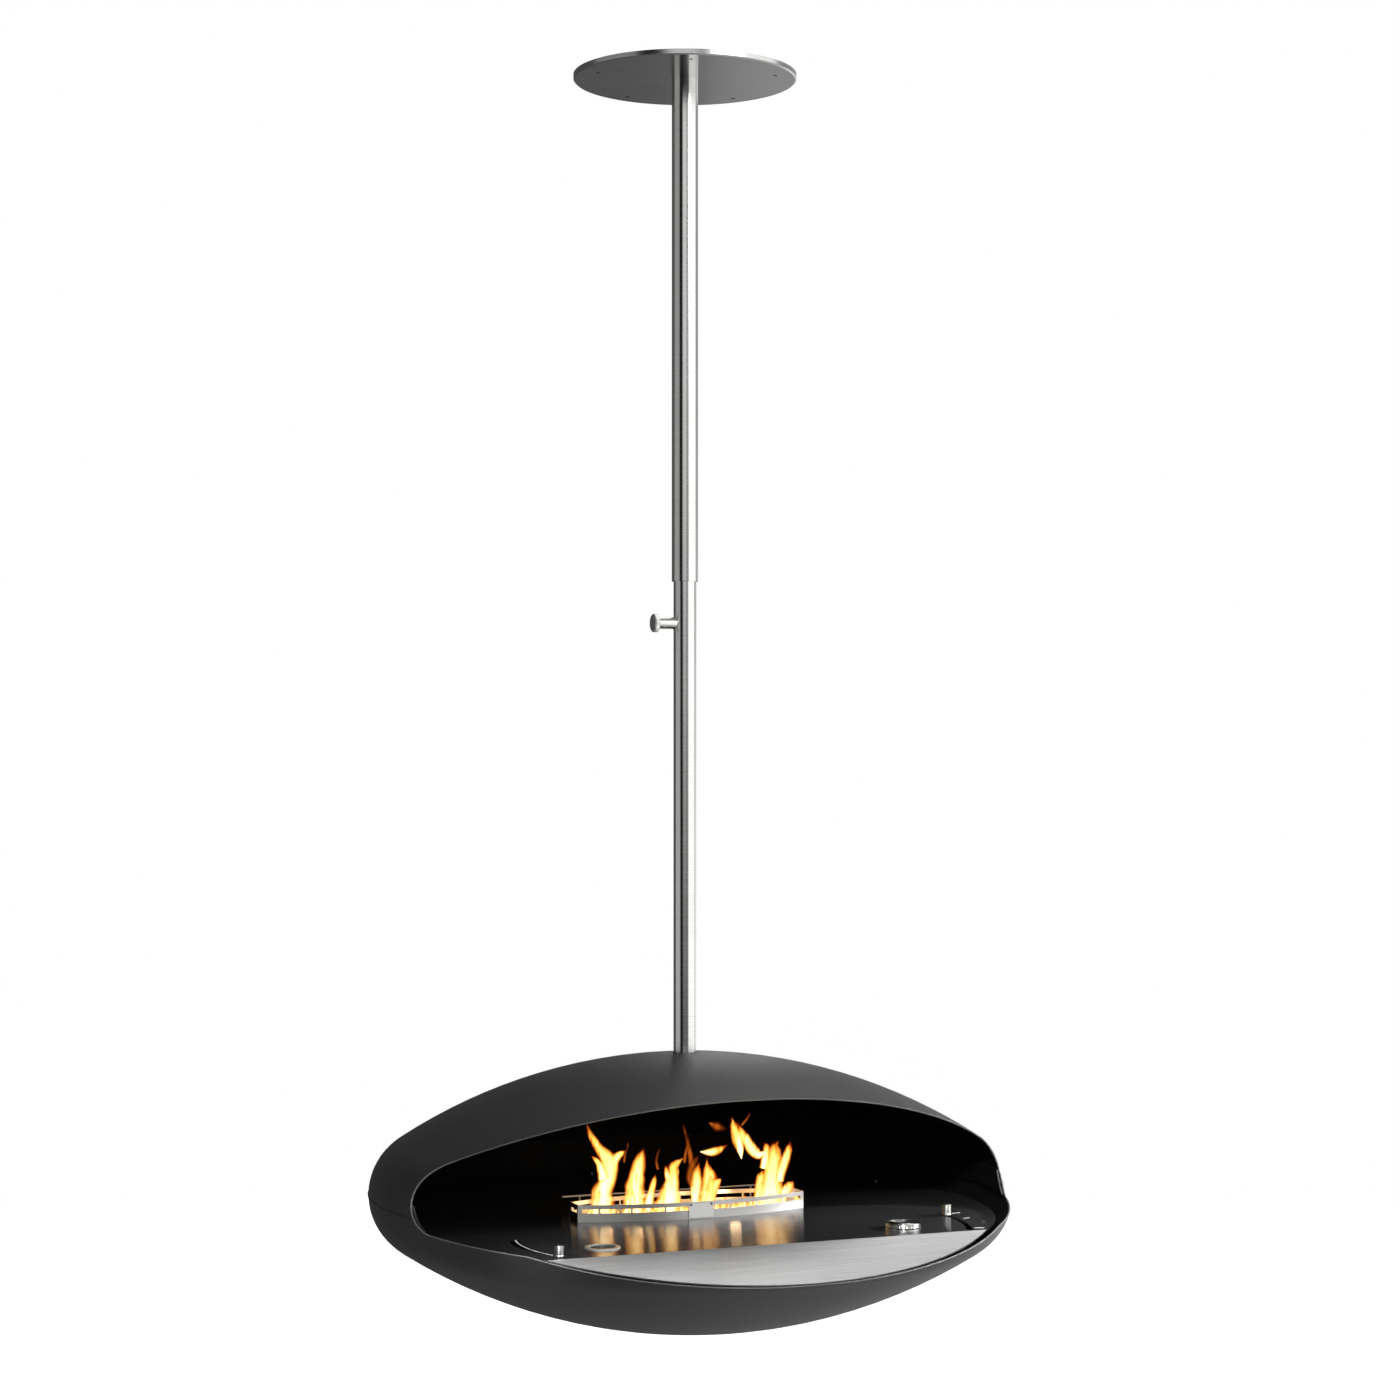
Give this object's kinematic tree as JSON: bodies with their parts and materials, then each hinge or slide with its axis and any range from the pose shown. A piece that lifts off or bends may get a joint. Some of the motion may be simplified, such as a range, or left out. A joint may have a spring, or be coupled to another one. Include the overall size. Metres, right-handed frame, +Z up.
{
  "type": "hanging fireplace",
  "caption": "Round lens-shaped steel hearth with an ethanol burner and an open front, hung from a telescopic ceiling pole.",
  "frame": {"origin": "centre of the ceiling plate's top face, which lies against the ceiling", "axes": "+Z up into the ceiling along the pole, the hearth's mouth faces -Y, the clamp knob points to -X"},
  "size_m": [1.0018, 0.9652, 1.9612],
  "materials": {
    "brushed_stainless": "fine brushed grain",
    "polished_stainless": "turned and polished",
    "dark_steel": "plain rolled steel",
    "matte_black_paint": "fine matte heat-proof paint",
    "satin_black_enamel": "smooth glossy black coat",
    "bronze": "sintered bearing bronze",
    "nylon": "natural white bearing plastic",
    "rubber": "matte",
    "ceramic_fibre": "loose white mineral fibre"
  },
  "bodies": {
    "ceiling_mount": {"ceiling_plate": "brushed_stainless", "tube_socket": "dark_steel", "socket_screws": "dark_steel", "cover_sleeve": "brushed_stainless", "core_tube": "brushed_stainless", "core_bush": "nylon"},
    "drop_pole": {"drop_tube": "brushed_stainless", "top_bush": "nylon", "clamp_boss": "polished_stainless", "swivel_spindle": "dark_steel", "upper_washer": "bronze", "lower_washer": "bronze", "hanger_nut": "dark_steel", "nut_pin": "dark_steel"},
    "clamp_knob": {"clamp_screw": "dark_steel", "knob_head": "polished_stainless"},
    "pod": {"upper_shell": "matte_black_paint", "lower_shell": "matte_black_paint", "seam_ring": "matte_black_paint", "seam_screws": "dark_steel", "hub_housing": "dark_steel", "hub_studs": "dark_steel", "hub_nuts": "dark_steel", "hearth_floor": "satin_black_enamel", "floor_brackets": "matte_black_paint", "floor_screws": "satin_black_enamel", "apron_plate": "brushed_stainless", "apron_brackets": "matte_black_paint", "burner_rim": "brushed_stainless", "burner_deck": "dark_steel", "name_plate": "brushed_stainless", "plate_rivets": "polished_stainless", "burner_tank": "brushed_stainless", "tank_spacers": "dark_steel", "tank_studs": "dark_steel", "tank_nuts": "dark_steel", "ceramic_wool": "ceramic_fibre", "shutter_rails": "dark_steel", "filler_neck": "polished_stainless", "feed_pipe": "dark_steel", "port_ring": "polished_stainless", "port_cup": "dark_steel", "rear_guard_rod": "polished_stainless", "lever_pivots": "dark_steel", "pivot_clips": "dark_steel", "scale_marks": "polished_stainless"},
    "cap": {"filler_cap": "polished_stainless", "cap_seal": "rubber"},
    "rear_lever": {"left_lever": "dark_steel", "left_knob": "polished_stainless"},
    "front_lever": {"right_lever": "dark_steel", "right_knob": "polished_stainless"},
    "front_blade": {"front_shutter": "dark_steel"},
    "rear_blade": {"rear_shutter": "dark_steel"}
  },
  "joints": [
    {"name": "height_slide", "type": "slide", "parent": "ceiling_mount", "child": "drop_pole", "axis": [0, 0, 1], "range_m": [-0.3, 0.04]},
    {"name": "clamp_turn", "type": "hinge", "parent": "drop_pole", "child": "clamp_knob", "pos_m": [-0.03, 0, -0.866], "axis": [-1, 0, 0], "range_deg": [0, 540]},
    {"name": "pod_swivel", "type": "hinge", "parent": "drop_pole", "child": "pod", "pos_m": [0, 0, -1.56], "axis": [0, 0, 1], "continuous": true},
    {"name": "cap_lift", "type": "slide", "parent": "pod", "child": "cap", "axis": [0, 0, 1], "range_m": [0, 0.03]},
    {"name": "left_lever_turn", "type": "hinge", "parent": "pod", "child": "rear_lever", "pos_m": [-0.11, -0.211, -1.806], "axis": [0, 0, 1], "range_deg": [-37.5, 0]},
    {"name": "right_lever_turn", "type": "hinge", "parent": "pod", "child": "front_lever", "pos_m": [0.11, -0.211, -1.806], "axis": [0, 0, 1], "range_deg": [-30.2, 7.3]},
    {"name": "front_shutter_slide", "type": "slide", "parent": "pod", "child": "front_blade", "axis": [0, 1, 0], "range_m": [-0.0046, 0.0187]},
    {"name": "rear_shutter_slide", "type": "slide", "parent": "pod", "child": "rear_blade", "axis": [0, 1, 0], "range_m": [-0.0232, 0]}
  ],
  "couplings": [
    {"joint": "front_shutter_slide", "follows": "right_lever_turn", "m_per_rad": -0.03529},
    {"joint": "rear_shutter_slide", "follows": "left_lever_turn", "m_per_rad": 0.03529}
  ]
}
